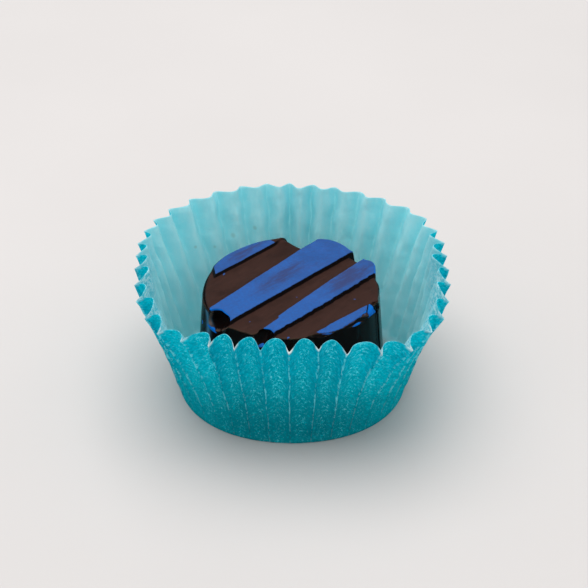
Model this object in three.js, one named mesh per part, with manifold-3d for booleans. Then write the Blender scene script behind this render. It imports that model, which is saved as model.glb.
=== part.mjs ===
// A moulded chocolate truffle standing in its pleated paper case.
//
// Millimetres, +Z up. The case stands on z = 0 with the middle of its box over the
// origin. -Y is the front. The chocolate's painted ribs run from the front left to
// the back right: in their own frame, "along" grows towards the back right and
// "across" towards the back left.

import * as THREE from 'three';
import { ConvexGeometry } from 'three/addons/geometries/ConvexGeometry.js';
import { mergeVertices } from 'three/addons/utils/BufferGeometryUtils.js';
import Module from 'manifold-3d';

// ---- Paper case ----
const PLEATS = 38;
const COLUMNS_PER_PLEAT = 8;
const COLUMN_CROWDING = 0.72; // nearer 1, more of a pleat's columns lie close to its creases
const PAPER = 0.35; // wall and floor
const CASE_HEIGHT = 19.6; // floor to the tips of the creases
const BASE_RADIUS = 17.5;
const TOE_RADIUS = 17.45; // where the floor has turned up into the wall
const TOE_WAVES = [{ swells: 4, size: 0.2, turn: 180 }]; // as the waves below, in millimetres
const TOE_LEVEL = 0.15;
const FLOOR_INSET = 0.7; // the flat that the case stands on ends this far inside the toe
const INNER_TOE = 0.2; // the floor's inner edge lies this much further in
const WALL_RINGS = [0.06, 0.25, 0.5, 0.75, 0.92, 1]; // shares of the height
const RIM_RADIUS = 24; // to the crease tips
const FLARE_CURVE = 0.28; // share of the flare that comes late, near the rim
const BASE_PLEAT_DEPTH = 0.3;
const RIM_PLEAT_DEPTH = 1.8;
const LOBE_RISE = 1; // the bulge between two creases stands this much taller
const LOBE_POWER = 0.55; // under 1, the lobes are full and the notches between them steep
const BACK_POWER = 1.5; // at the back the pleats roll gently
const BACK_RISE = 0.4; // share of the lobes' rise that is left at the back
const BACK_FROM = -0.1; // sine of the azimuth where the back begins
const BACK_TO = 0.6; // and where it has come in full
const FOOT_NOTCH_HALF = 0.012; // half width of a crease's round at the foot, in pleats
const RIM_NOTCH_HALF = 0.05; // and at the rim
const LEAST_NOTCH_HALF = 0.0001; // where the round has faded out
const FAN_POWER = 3; // the rim's own shape fades down the wall by this power
const FIRST_CREASE = -137; // degrees from +X
// The mouth is out of round, and the creases are not evenly spaced: each line is a
// wave round the case, with its number of swells, its size and its turn in degrees.
const MOUTH_WAVES = [
  { swells: 4, size: 1.1, turn: 0 },
  { swells: 3, size: 0.45, turn: 50 },
  { swells: 5, size: 0.45, turn: -55 },
  { swells: 2, size: 0.4, turn: 180 },
]; // millimetres at the rim
const CREASE_WAVES = [
  { swells: 1, size: 1, turn: 110 },
  { swells: 5, size: 1, turn: 40 },
  { swells: 3, size: 0.5, turn: -30 },
  { swells: 4, size: 0.5, turn: -50 },
]; // degrees
const DEPTH_SPREAD = 0.22; // share by which one pleat is deeper than the next
const PLEAT_SEED = 3422;
// How the front creases fell at the rim: millimetres to the right, out and up, and the
// half width of the notch's round in pleats.
const RIM_CREASES = {
  0: { right: 0, out: 0.5, up: 0, half: 0.05 },
  1: { right: 0, out: 0, up: 0.3, half: 0.05 },
  2: { right: 0.15, out: 0, up: 0.45, half: 0.07 },
  3: { right: -0.15, out: 0, up: 0.03, half: 0.04 },
  4: { right: -0.4, out: 0, up: 0.05, half: 0.12 },
  5: { right: -0.1, out: 0, up: -0.05, half: 0.17 },
  6: { right: 0.3, out: 0, up: 0.68, half: 0.09 },
  7: { right: -0.5, out: 0, up: 0.27, half: 0.08 },
  8: { right: 0.1, out: 0.1, up: -0.25, half: 0.04 },
  9: { right: 0, out: 0.9, up: 0, half: 0.05 },
  10: { right: 0.4, out: 0, up: 0.3, half: 0.05 },
};
const EVEN_CREASE = { right: 0, out: 0, up: 0, half: RIM_NOTCH_HALF };
// How much taller the first pleats stand than the others, and how far to the right
// their tops lean, in millimetres.
const FRONT_LOBES = [
  { taller: 0, lean: 0.3 },
  { taller: 0.95, lean: 0.9 },
  { taller: 0.1, lean: -0.35 },
  { taller: -0.1, lean: 0 },
  { taller: 0.3, lean: 0.35 },
  { taller: 0.25, lean: 0.15 },
  { taller: -0.35, lean: 0.5 },
  { taller: 0.4, lean: 1 },
  { taller: -0.3, lean: 0.3 },
  { taller: -0.5, lean: -0.3 },
];
const EVEN_LOBE = { taller: 0, lean: 0 };

// ---- Chocolate ----
const CHOCOLATE_BASE = PAPER + 0.3; // clear of the case's floor
const CHOCOLATE_ASIDE = -0.12; // it stands this far to the right of the base's middle
const BODY_RADIUS = 13.1; // at the groove floors
const WALL_DRAFT = 0.082; // the wall leans out this much for each millimetre down
const BASE_EDGE = 0.4; // small round at the foot of the wall
const SQUARING = 0.15; // soft corners of the nearly round outline
const SQUARING_TURN = 38; // degrees from +X to the first soft corner
// Where the outline stands out or draws in, as bells: middle and half width in degrees
// and size in millimetres.
const SWELLS = [
  { middle: 62, half: 8, size: 0.3 },
  { middle: 44, half: 6, size: -0.5 },
  { middle: 75, half: 5, size: -0.3 },
  { middle: 23, half: 5, size: 0.4 },
  { middle: 29.5, half: 2.2, size: -0.5 },
  { middle: 9, half: 5, size: -0.35 },
  { middle: -18, half: 3.5, size: 0.25 },
  { middle: -133, half: 3, size: 0.25 },
];
const FLOOR_LEVEL = 15.65; // groove floors, at the middle
const RIB_HEIGHT = 0.65;
const TOP_SLOPE = 0.02; // the top climbs this much per millimetre along the ribs
const RIB_TURN = 45; // degrees from +X to the ribs
const RIB_DRAFT = 0.25; // a rib is this much wider at its foot, each side
const RIB_REACH = 15; // half-length of a rib before the outline trims it
// The sides of each rib, as distances across at its front and back end. The bow is
// how far the side swells out at the middle. A sunk rib is that much lower, and an
// inset one stops short of the wall. An end is a flat that faces the given azimuth,
// that far from the middle.
const RIBS = [
  {
    low: [10.1, 9.65],
    high: [17, 17],
    lowBow: 0,
    highBow: 0,
    sunk: 0.15,
    inset: 0.45,
    end: { azimuth: 189.5, distance: 10.6 },
  },
  { low: [-0.5, -0.55], high: [3.8, 6.05], lowBow: 0, highBow: 0, sunk: 0, inset: 0 },
  { low: [-6.8, -6.75], high: [-5.4, -3], lowBow: -0.35, highBow: 0.25, sunk: 0, inset: 0 },
  {
    low: [-17, -17],
    high: [-10.25, -12.5],
    lowBow: 0,
    highBow: 0.1,
    sunk: 0.3,
    inset: 0,
    end: { azimuth: -8.1, distance: 11.66 },
  },
];
// Where a groove floor runs out short of the back wall and drops away: its two sides
// across, and where the drop starts along it.
const RUN_OUTS = [
  { across: [4.6, 10.4], start: 8.35 },
  { across: [-4.2, -0.6], start: 11.55 },
];
const RUN_OUT_SLOPE = 1.05;
const RUN_OUT_LENGTH = 3;
const RUN_OUT_MARGIN = 2; // the cut goes on this far past the wall
const CUT_HEIGHT = 1; // and rises this far above the groove floors
// Bubbles and chips in the wall: the deepest point and the corners of the outline, as
// [azimuth in degrees, level]; the depth; and how straight the hollow's sides are, 1 for
// flat facets and less for a bowl.
const CHIPS = [
  {
    deepest: [-143.5, 14.9],
    depth: 1.7,
    straight: 0.5,
    corners: [
      [-149.6, 16.5],
      [-153.8, 13.65],
      [-151, 13.2],
      [-145.5, 13.05],
      [-141.4, 13.4],
      [-136, 14.25],
      [-130.4, 15.6],
      [-131.5, 16.5],
    ],
  },
  {
    deepest: [-107, 15.5],
    depth: 1.4,
    straight: 0.8,
    corners: [
      [-112, 16.7],
      [-115, 15.3],
      [-110, 13.5],
      [-106, 13.7],
      [-100.5, 15.2],
      [-99.5, 16.7],
    ],
  },
  {
    deepest: [-26.5, 16.4],
    depth: 0.5,
    straight: 1,
    corners: [
      [-32.6, 16.9],
      [-32, 14.85],
      [-20.4, 14.1],
      [-18, 16.9],
    ],
  },
  {
    deepest: [-16.5, 14.7],
    depth: 1,
    straight: 0.8,
    corners: [
      [-22, 15.95],
      [-24.3, 15.15],
      [-19.4, 14.35],
      [-11.6, 13.3],
      [-12.4, 14.5],
      [-18.4, 15.6],
    ],
  },
  {
    deepest: [-71, 16.4],
    depth: 0.6,
    straight: 1,
    corners: [
      [-82, 16.8],
      [-80, 15.7],
      [-70, 15.2],
      [-62, 15.6],
      [-60, 16.8],
    ],
  },
];
const CHIP_RINGS = [1, 0.8, 0.45, 0]; // shares of the way out at which a hollow is drawn
const CHIP_OPEN_LEVEL = 16; // a corner above this level opens the hollow to the top
const CHIP_REACH = 1.5; // a hollow is carried this far out of the wall and the top
// A knob of chocolate on the groove floor near the back left rib.
const KNOB = { along: 7.4, across: 9.1, radius: 1, rise: 0.34 };
const KNOB_SEGMENTS = 14;
const END_BLOCK = { deep: 9, wide: 26, tall: 4 }; // what is cut away beyond a rib's end
const PLUG_HEADROOM = 2; // the outline is carried this far above the groove floors
const CUT_REACH = 20; // half-width of the slab that sets the groove floors
const ROUND_SEGMENTS = 120;

const wasm = await Module();
wasm.setup();

const radians = (degrees) => THREE.MathUtils.degToRad(degrees);

// ---- Joining and cutting ----

function solid(geometry) {
  const bare = geometry.clone();
  bare.deleteAttribute('normal');
  bare.deleteAttribute('uv');
  const merged = mergeVertices(bare, 1e-4);
  return new wasm.Manifold(
    new wasm.Mesh({
      numProp: 3,
      vertProperties: merged.attributes.position.array,
      triVerts: merged.index.array,
    }),
  );
}

function surface(shape) {
  const mesh = shape.getMesh();
  const geometry = new THREE.BufferGeometry();
  geometry.setAttribute('position', new THREE.BufferAttribute(mesh.vertProperties, 3));
  geometry.setIndex(new THREE.BufferAttribute(mesh.triVerts, 1));
  geometry.computeVertexNormals();
  return geometry;
}

// ---- Paper case ----

// A repeatable spread of shares from 0 to 1: each draw is the last one times a fixed
// number, less all whole turns of a prime.
function draws(count, seed) {
  const multiplier = 16807;
  const prime = 2147483647;
  let value = seed;
  return Array.from({ length: count }, () => {
    value = (multiplier * value) % prime;
    return value / prime;
  });
}

const pleatDepths = draws(PLEATS, PLEAT_SEED).map((share) => 1 + DEPTH_SPREAD * (2 * share - 1));

// The sum of a list of waves at a turn round the case.
function swell(waves, turn) {
  return waves.reduce(
    (sum, wave) => sum + wave.size * Math.cos(wave.swells * turn + radians(wave.turn)),
    0,
  );
}

// The pleat number at a column: the columns crowd towards the creases.
function pleatAt(column) {
  const share = column / COLUMNS_PER_PLEAT;
  return share - (COLUMN_CROWDING * Math.sin(2 * Math.PI * share)) / (2 * Math.PI);
}

// How the rim fell at a pleat number: the two creases beside it, blended.
function rimFall(pleat) {
  const before = RIM_CREASES[Math.floor(pleat) % PLEATS] ?? EVEN_CREASE;
  const after = RIM_CREASES[(Math.floor(pleat) + 1) % PLEATS] ?? EVEN_CREASE;
  const share = pleat - Math.floor(pleat);
  const blend = (key) => THREE.MathUtils.lerp(before[key], after[key], share);
  return { right: blend('right'), out: blend('out'), up: blend('up'), half: blend('half') };
}

// How far the paper bulges between two creases, from 0 to 1: a power of a sine, rounded
// at the crease over the given half width in pleats.
function lobe(pleat, half, power) {
  const fold = 0.5 - Math.abs(pleat - Math.floor(pleat) - 0.5);
  const share = ((fold ** 3 / (fold ** 2 + half ** 2)) * (0.5 ** 2 + half ** 2)) / 0.5 ** 3;
  return Math.sin((share * Math.PI) / 2) ** power;
}

// A point of the case's wall. The pleat number runs from 0 to PLEATS round the case and
// is whole on a crease; height is the share of the way up. Each pleat is a rounded
// bulge inwards between two creases, and its top is a lobe that stands above them.
function wallPoint(pleat, height) {
  const turn = (pleat / PLEATS) * 2 * Math.PI;
  const even = radians(FIRST_CREASE + swell(CREASE_WAVES, turn)) + turn;
  const back = THREE.MathUtils.smoothstep(Math.sin(even), BACK_FROM, BACK_TO);
  const fall = rimFall(pleat);
  const fan = height ** FAN_POWER;
  const round = THREE.MathUtils.lerp(FOOT_NOTCH_HALF, fall.half, fan) * (1 - back);
  const half = Math.max(LEAST_NOTCH_HALF, round);
  const power = THREE.MathUtils.lerp(LOBE_POWER, BACK_POWER, back);
  const number = Math.floor(pleat) % PLEATS;
  const bulge = lobe(pleat, half, power) * pleatDepths[number];
  const own = FRONT_LOBES[number] ?? EVEN_LOBE;
  const aside = fall.right * height ** 2 + own.lean * bulge * fan;
  const flare = (1 - FLARE_CURVE) * height + FLARE_CURVE * height ** 2;
  const mouth = (swell(MOUTH_WAVES, turn) + fall.out) * height ** 2;
  const crease = THREE.MathUtils.lerp(BASE_RADIUS, RIM_RADIUS, flare) + mouth;
  const depth = THREE.MathUtils.lerp(BASE_PLEAT_DEPTH, RIM_PLEAT_DEPTH, height);
  const rise = LOBE_RISE * THREE.MathUtils.lerp(1, BACK_RISE, back) + own.taller;
  const raised = rise * bulge + fall.up * Math.max(0, 1 - bulge);
  return {
    azimuth: even + aside / RIM_RADIUS,
    radius: crease - depth * bulge,
    level: CASE_HEIGHT * height + raised * fan,
    toe: TOE_RADIUS + swell(TOE_WAVES, even),
  };
}

// The case is turned as a plain cup whose rings are then drawn out to the pleats. Each
// point of the profile says how far up the wall it belongs and how far inside the outer
// face it lies; a point of the floor has a level, and lies inside the toe or at the pole.
function paperCase() {
  const outer = WALL_RINGS.map((height) => ({ height, inside: 0 }));
  const inner = WALL_RINGS.map((height) => ({ height, inside: PAPER })).reverse();
  const profile = [
    { pole: true, level: 0 },
    { insideToe: FLOOR_INSET, level: 0 },
    { insideToe: 0, level: TOE_LEVEL },
    ...outer,
    ...inner,
    { insideToe: FLOOR_INSET + INNER_TOE, level: PAPER },
    { pole: true, level: PAPER },
  ];
  const rings = profile.map((point, ring) => new THREE.Vector2(point.pole ? 0 : 1, ring));
  const columns = PLEATS * COLUMNS_PER_PLEAT;
  const cup = new THREE.LatheGeometry(rings, columns);
  const place = cup.attributes.position;
  for (let column = 0; column <= columns; column += 1) {
    const pleat = pleatAt(column % columns);
    profile.forEach((point, ring) => {
      const wall = wallPoint(pleat, point.height ?? WALL_RINGS[0]);
      const onFloor = point.pole ? 0 : wall.toe - point.insideToe;
      const radius = point.level === undefined ? wall.radius - point.inside : onFloor;
      const level = point.level ?? wall.level;
      place.setXYZ(
        column * profile.length + ring,
        radius * Math.cos(wall.azimuth),
        radius * Math.sin(wall.azimuth),
        level,
      );
    });
  }
  return cup;
}

// ---- Chocolate ----

// A point given along and across the ribs.
function ribPoint(along, across, level) {
  const turn = radians(RIB_TURN);
  return new THREE.Vector3(
    along * Math.cos(turn) - across * Math.sin(turn),
    along * Math.sin(turn) + across * Math.cos(turn),
    level,
  );
}

// Degrees brought between -180 and 180.
function wrap(degrees) {
  return THREE.MathUtils.euclideanModulo(degrees + 180, 360) - 180;
}

// How far the outline stands out from a circle at an azimuth in degrees.
function outlineSwell(azimuth) {
  const corners = Math.cos(4 * radians(azimuth - SQUARING_TURN)) * SQUARING;
  return SWELLS.reduce(
    (sum, bell) => sum + bell.size * Math.exp(-((wrap(azimuth - bell.middle) / bell.half) ** 2)),
    corners,
  );
}

// The round outline as a tall drafted plug, set in from the wall by inset.
function plug(inset) {
  const top = FLOOR_LEVEL + PLUG_HEADROOM;
  const radiusAt = (level) => BODY_RADIUS + (FLOOR_LEVEL - level) * WALL_DRAFT - inset;
  const profile = [
    new THREE.Vector2(0, CHOCOLATE_BASE),
    new THREE.Vector2(radiusAt(CHOCOLATE_BASE) - BASE_EDGE, CHOCOLATE_BASE),
    new THREE.Vector2(radiusAt(CHOCOLATE_BASE + BASE_EDGE), CHOCOLATE_BASE + BASE_EDGE),
    new THREE.Vector2(radiusAt(top), top),
    new THREE.Vector2(0, top),
  ];
  const round = new THREE.LatheGeometry(profile, ROUND_SEGMENTS).rotateX(Math.PI / 2);
  const place = round.attributes.position;
  for (let i = 0; i < place.count; i += 1) {
    const x = place.getX(i);
    const y = place.getY(i);
    const azimuth = THREE.MathUtils.radToDeg(Math.atan2(y, x));
    const stretch = 1 + outlineSwell(azimuth) / BODY_RADIUS;
    place.setXY(i, x * stretch, y * stretch);
  }
  return solid(round);
}

// Everything under the sloping plane of the groove floors.
function underFloors() {
  const corners = [];
  for (const along of [-CUT_REACH, CUT_REACH]) {
    for (const across of [-CUT_REACH, CUT_REACH]) {
      corners.push(ribPoint(along, across, FLOOR_LEVEL + TOP_SLOPE * along));
      corners.push(ribPoint(along, across, 0));
    }
  }
  return solid(new ConvexGeometry(corners));
}

// One rib as a straight bar with drafted sides, before the outline trims it.
function ribBar(rib) {
  const corners = [];
  for (const end of [-1, 0, 1]) {
    const along = end * RIB_REACH;
    const share = (end + 1) / 2;
    const bowed = 1 - Math.abs(end);
    const low = THREE.MathUtils.lerp(...rib.low, share) + rib.lowBow * bowed;
    const high = THREE.MathUtils.lerp(...rib.high, share) + rib.highBow * bowed;
    const foot = FLOOR_LEVEL + TOP_SLOPE * along;
    const top = foot + RIB_HEIGHT - rib.sunk;
    corners.push(ribPoint(along, low, top), ribPoint(along, high, top));
    const sunkFoot = foot - RIB_HEIGHT;
    corners.push(ribPoint(along, low - 2 * RIB_DRAFT, sunkFoot));
    corners.push(ribPoint(along, high + 2 * RIB_DRAFT, sunkFoot));
  }
  return solid(new ConvexGeometry(corners));
}

// The space that is missing at the back end of a groove floor.
function runOut({ across, start }) {
  const end = start + RUN_OUT_LENGTH;
  const depth = RUN_OUT_SLOPE * RUN_OUT_LENGTH;
  const above = FLOOR_LEVEL + CUT_HEIGHT;
  const floor = FLOOR_LEVEL + TOP_SLOPE * start;
  const corners = across.flatMap((side) => [
    ribPoint(start, side, floor),
    ribPoint(start, side, above),
    ribPoint(end, side, floor - depth),
    ribPoint(end + RUN_OUT_MARGIN, side, floor - depth),
    ribPoint(end + RUN_OUT_MARGIN, side, above),
  ]);
  return solid(new ConvexGeometry(corners));
}

// A hollow in the wall: rings drawn in from its outline towards its deepest point.
function hollow({ deepest, depth, straight, corners }) {
  const points = [];
  const add = (azimuth, level, out) => {
    const radius = BODY_RADIUS + outlineSwell(azimuth) + (FLOOR_LEVEL - level) * WALL_DRAFT + out;
    const turn = radians(azimuth);
    points.push(new THREE.Vector3(radius * Math.cos(turn), radius * Math.sin(turn), level));
  };
  for (const [azimuth, level] of corners) {
    add(azimuth, level, CHIP_REACH);
    for (const share of CHIP_RINGS) {
      const inwards = depth * (1 - share ** (1 / straight)) ** straight;
      const at = THREE.MathUtils.lerp(deepest[0], azimuth, share);
      const height = THREE.MathUtils.lerp(deepest[1], level, share);
      add(at, height, -inwards);
      if (level > CHIP_OPEN_LEVEL) add(at, height + CHIP_REACH, -inwards);
    }
  }
  return solid(new ConvexGeometry(points));
}

// What lies beyond the flat end of a rib.
function beyondEnd({ azimuth, distance }) {
  const block = new THREE.BoxGeometry(END_BLOCK.deep, END_BLOCK.wide, END_BLOCK.tall);
  block.translate(distance + END_BLOCK.deep / 2, 0, FLOOR_LEVEL);
  block.rotateZ(radians(azimuth));
  return solid(block);
}

// A rib, trimmed by the outline and by its own end.
function trimmedRib(rib) {
  const bar = plug(rib.inset).intersect(ribBar(rib));
  return rib.end ? bar.subtract(beyondEnd(rib.end)) : bar;
}

function knob() {
  const ball = new THREE.SphereGeometry(1, KNOB_SEGMENTS, KNOB_SEGMENTS / 2);
  ball.rotateX(Math.PI / 2);
  ball.scale(KNOB.radius, KNOB.radius, KNOB.rise);
  const floor = FLOOR_LEVEL + TOP_SLOPE * KNOB.along;
  const at = ribPoint(KNOB.along, KNOB.across, floor);
  ball.translate(at.x, at.y, at.z);
  return solid(ball);
}

function chocolate() {
  let body = plug(0).intersect(underFloors());
  for (const gap of RUN_OUTS) body = body.subtract(runOut(gap));
  for (const rib of RIBS) body = body.add(trimmedRib(rib));
  body = body.add(knob());
  for (const chip of CHIPS) body = body.subtract(hollow(chip));
  return surface(body);
}

// ---- The object ----

const paper = new THREE.MeshStandardMaterial({ color: 0x12a3b4, roughness: 0.8, metalness: 0 });
const cocoa = new THREE.MeshStandardMaterial({ color: 0x3a2620, roughness: 0.35, metalness: 0 });

const truffle = new THREE.Group();

const caseMesh = new THREE.Mesh(paperCase(), paper);
caseMesh.name = 'paper_case';
caseMesh.geometry.computeVertexNormals();
caseMesh.geometry.computeBoundingBox();
const middle = caseMesh.geometry.boundingBox.getCenter(new THREE.Vector3());
caseMesh.position.set(-middle.x, -middle.y, 0);
truffle.add(caseMesh);

const chocolateMesh = new THREE.Mesh(chocolate(), cocoa);
chocolateMesh.name = 'chocolate';
chocolateMesh.position.set(CHOCOLATE_ASIDE - middle.x, -middle.y, 0);
truffle.add(chocolateMesh);

export default truffle;
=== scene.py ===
"""A moulded chocolate truffle with blue ribs in its pleated paper case.

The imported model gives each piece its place. Two finer pieces stand for its two nodes:
the pleated paper case and the moulded chocolate. Their outlines are worked out here as
formulas over grids, and their colours, wear and gloss are node materials.
"""

import functools
import math

import bpy
import numpy as np
from mathutils import Matrix, Vector


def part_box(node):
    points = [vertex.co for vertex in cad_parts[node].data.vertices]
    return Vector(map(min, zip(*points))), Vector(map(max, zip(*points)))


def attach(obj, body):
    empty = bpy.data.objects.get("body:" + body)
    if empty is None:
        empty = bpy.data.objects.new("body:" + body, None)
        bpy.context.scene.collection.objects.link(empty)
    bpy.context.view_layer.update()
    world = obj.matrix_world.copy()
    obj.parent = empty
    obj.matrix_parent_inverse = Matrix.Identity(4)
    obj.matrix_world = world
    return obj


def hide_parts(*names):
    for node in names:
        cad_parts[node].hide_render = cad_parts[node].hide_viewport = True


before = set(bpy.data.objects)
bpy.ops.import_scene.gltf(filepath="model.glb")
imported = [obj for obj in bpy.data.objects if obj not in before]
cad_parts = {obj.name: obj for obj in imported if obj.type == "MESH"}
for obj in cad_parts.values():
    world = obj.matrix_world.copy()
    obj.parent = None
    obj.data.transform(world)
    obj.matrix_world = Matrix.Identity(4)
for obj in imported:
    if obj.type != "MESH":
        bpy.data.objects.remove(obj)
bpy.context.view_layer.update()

bl_info = {
    "name": "Chocolate Truffle",
    "version": (1, 0, 0),
    "blender": (4, 5, 0),
    "location": "3D View > Sidebar > Truffle",
    "description": "Adds a moulded chocolate in its pleated paper case, with a stage",
    "category": "Add Mesh",
}

MM = 0.001

# ---- Paper case: waves as (swells round the case, size, turn in degrees) ----
MOUTH_WAVES = ((4, 1.1 * MM, 0), (3, 0.45 * MM, 50), (5, 0.45 * MM, -55), (2, 0.4 * MM, 180))
CREASE_WAVES = ((1, 1, 110), (5, 1, 40), (3, 0.5, -30), (4, 0.5, -50))  # degrees
FIRST_CREASE = -137  # degrees from +X
FLARE_CURVE = 0.28  # share of the flare that comes late, near the rim
DEPTH_SPREAD = 0.22  # share by which one pleat is deeper than the next
PLEAT_SEED = 3422
FLOOR_INSET = 0.7 * MM
TOE_RADIUS = 17.45 * MM
TOE_WAVES = ((4, 0.2 * MM, 180),)
TOE_LEVEL = 0.15 * MM
FLOOR_PAPER = 0.35 * MM  # the folded floor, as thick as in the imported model
COLUMNS_PER_PLEAT = 22
COLUMN_CROWDING = 0.72  # nearer 1, more of a pleat's columns lie close to its creases
WALL_ROWS = 42
WALL_FROM = 0.06  # share of the height where the wall's rows begin
ROW_CROWDING = 1.25  # over 1, the rows lie closer together towards the rim
LOBE_POWER = 0.55  # under 1, the lobes are fuller and the notches between them steeper
POWER_SPREAD = 0.15
POWER_SEED = 91
BACK_FROM, BACK_TO = -0.1, 0.6  # sine of the azimuth where the back begins and is full
BACK_POWER = 1.5  # at the back the pleats roll gently
BACK_RISE = 0.4  # share of the lobes' rise that is left at the back
FOOT_NOTCH_HALF = 0.012  # half width of a crease's round at the foot, in pleats
LEAST_NOTCH_HALF = 0.0001  # where the round has faded out
# How the creases fell at the rim: number, mm to the right, out and up, half width of the
# round in pleats, and the share of bare white paper at the cut edge.
RIM_CREASES = (
    (37, 0, 0, 0, 0.05, 0.3), (0, 0, 0.5, 0, 0.05, 0.4), (1, 0, 0, 0.3, 0.05, 0.4),
    (2, 0.15, 0, 0.45, 0.07, 0.7), (3, -0.15, 0, 0.03, 0.04, 0.6), (4, -0.4, 0, 0.05, 0.12, 0.15),
    (5, -0.1, 0, -0.05, 0.17, 1), (6, 0.3, 0, 0.68, 0.09, 0.5), (7, -0.5, 0, 0.27, 0.08, 0.5),
    (8, 0.1, 0.1, -0.25, 0.04, 0.5), (9, 0, 0.9, 0, 0.05, 0.5), (10, 0.4, 0, 0.3, 0.05, 0.4),
    (11, 0, 0, 0, 0.05, 0.3),
)
FELL_RIGHT, FELL_OUT, FELL_UP, NOTCH_HALF, BARE_PAPER = 1, 2, 3, 4, 5  # columns of that table
# How much taller the first pleats stand than the others, and how far their tops lean to
# the right, in mm.
FRONT_LOBES = (
    (0, 0.3), (0.95, 0.9), (0.1, -0.35), (-0.1, 0), (0.3, 0.35), (0.25, 0.15), (-0.35, 0.5),
    (0.4, 1.0), (-0.3, 0.3), (-0.5, -0.3),
)
BARE_HALF = (0.07, 0.15)  # where the bare edge of a notch fades out, in pleats
BARE_EDGE = 0.14  # how bare the cut edge is elsewhere
BARE_FROM = 0.965  # the share of the height above which a notch is bare
CUT_EDGE = 0.9999  # from this share of the height up, a point is on the cut edge
CRUMPLES = ((5.5 * MM, 0.06 * MM, 11), (1.9 * MM, 0.028 * MM, 12))  # pitch, size, seed
CRUMPLES_FULL = 0.3  # share of the height from which the crumples are full
CREASE_WANDER = (3.6 * MM, 0.1 * MM, 13)
RIPPLE_PITCHES = (0.7, 1.5)  # the pitches of one unevenness, as shares of its own

# ---- Chocolate: "along" runs from the front left to the back right, "across" to the
# back left, both from the middle of the body ----
RIB_TURN = math.radians(45)
RIB_REACH = 15 * MM
TOP_SLOPE = 0.02  # climb of the top along the ribs
# Unevenness of the top: pitch, size, seed, and the squeeze that draws it out along the ribs.
TOP_RIPPLES = ((6 * MM, 0.018 * MM, 21, 1), (0.7 * MM, 0.006 * MM, 22, 0.25))
WALL_DRAFT = 0.082  # the wall leans out this much for each unit down
SQUARING = 0.15 * MM
SQUARING_TURN = math.radians(38)
BASE_EDGE = 0.4 * MM
RIB_DRAFT = 0.25 * MM
# Each rib: its low and high side across, at the front and back end, the bow of each side,
# how much lower it stands than the others, and the raggedness of its low side; then how
# far inside the wall its paint ends, where less than nought is over the edge, and the
# stretch along it that has paint, in mm.
RIBS = (
    {"low": (10.1, 9.65), "high": (17, 17), "bow": (0, 0), "sunk": 0.15, "rag": 0.02,
     "margin": 0.45, "painted": (-15, 6.3)},
    {"low": (-0.5, -0.55), "high": (3.8, 6.05), "bow": (0, 0), "sunk": 0, "rag": 0.03,
     "margin": -0.05, "painted": (-15, 15)},
    {"low": (-6.8, -6.75), "high": (-5.4, -3), "bow": (-0.35, 0.25), "sunk": 0, "rag": 0.09,
     "margin": -0.05, "painted": (-15, 15)},
    {"low": (-17, -17), "high": (-10.25, -12.5), "bow": (0, 0.1), "sunk": 0.3, "rag": 0.02,
     "margin": 0.02, "painted": (-5.9, 15)},
)
RAG_WAVES = ((0.31 * MM, 1, 1), (0.83 * MM, 2.3, 1), (0.17 * MM, 1.7, 0.6))  # length, start, size
HIGH_RAG = 0.012 * MM  # raggedness of a rib's high side
SOFT_EASE = 0.22  # how soft the corners of a rib's sides are
# Where a rib's paint steps in from its high side: the rib, how far, and the stretch along
# it over which the step ends, in mm.
PAINT_STEP = (2, 0.35, (-7.45, -7.15))
# Where a groove floor runs out short of the back wall: sides across, start along, in mm.
RUN_OUTS = ((4.6, 10.4, 8.35), (-4.2, -0.6, 11.55))
RUN_OUT_SLOPE = 1.05
RUN_OUT_SIDE = 0.5  # mm over which it comes in across
RUN_OUT_EASE = 0.25
# Bubbles and chips in the wall: the deepest point and the corners of the outline, from
# the top left down and round, as (azimuth in degrees, level in mm); the depth in mm; how
# straight the bottom is (1, flat facets; less, a bowl); and the strength of the highlight
# painted along its lip.
CHIPS = (
    {"deepest": (-143.5, 14.9), "depth": 1.7, "straight": 0.5, "lip_highlight": 0.8, "corners": (
        (-149, 16.5), (-153.8, 13.65), (-151, 13.2), (-145.5, 13.05), (-141.4, 13.4),
        (-136, 14.25), (-130.4, 15.6), (-131.5, 16.5))},
    {"deepest": (-107, 15.5), "depth": 1.4, "straight": 0.8, "lip_highlight": 0.4, "corners": (
        (-112, 16.7), (-115, 15.3), (-110, 13.5), (-106, 13.7), (-100.5, 15.2), (-99.5, 16.7))},
    {"deepest": (-26.5, 16.4), "depth": 0.5, "straight": 1, "lip_highlight": 0, "corners": (
        (-32.6, 16.9), (-32, 14.85), (-20.4, 14.1), (-18, 16.9))},
    {"deepest": (-16.5, 14.7), "depth": 1.0, "straight": 0.8, "lip_highlight": 0.35, "corners": (
        (-22, 15.95), (-24.3, 15.15), (-19.4, 14.35), (-11.6, 13.3), (-12.4, 14.5), (-18.4, 15.6))},
    {"deepest": (-40, 16.4), "depth": 0.4, "straight": 0.3, "lip_highlight": 0.7, "corners": (
        (-60, 16.7), (-58, 15.4), (-42, 15.2), (-32, 14.8), (-31, 16.7))},
    {"deepest": (-71, 16.4), "depth": 0.6, "straight": 1, "lip_highlight": 0.5, "corners": (
        (-82, 16.8), (-80, 15.7), (-70, 15.2), (-62, 15.6), (-60, 16.8))},
)
OUTLINE_CRISPNESS = 9  # higher, the corners of a chip's outline are sharper
FAR_OUT = 9  # a point this many times as far out as the outline counts as no further
DEPTH_EASE = 0.003  # keeps a bowl's side short of upright at its outline
LIP_HIGHLIGHT_WIDTH = 0.045  # width of the painted highlight on a chip's lip, as a share of the chip's size
BODY_ARC = 13.2  # mm along the wall for each radian
# Lumps on the top: along, across, radius, height, in mm. The first is a knob of chocolate.
LUMPS = ((7.4, 9.25, 0.75, 0.5), (-5.6, -10.6, 0.6, -0.2), (-4.4, -11.6, 0.8, -0.25))
KNOB_REACH = 1.3  # the knob is matt out to this share of its radius
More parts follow.
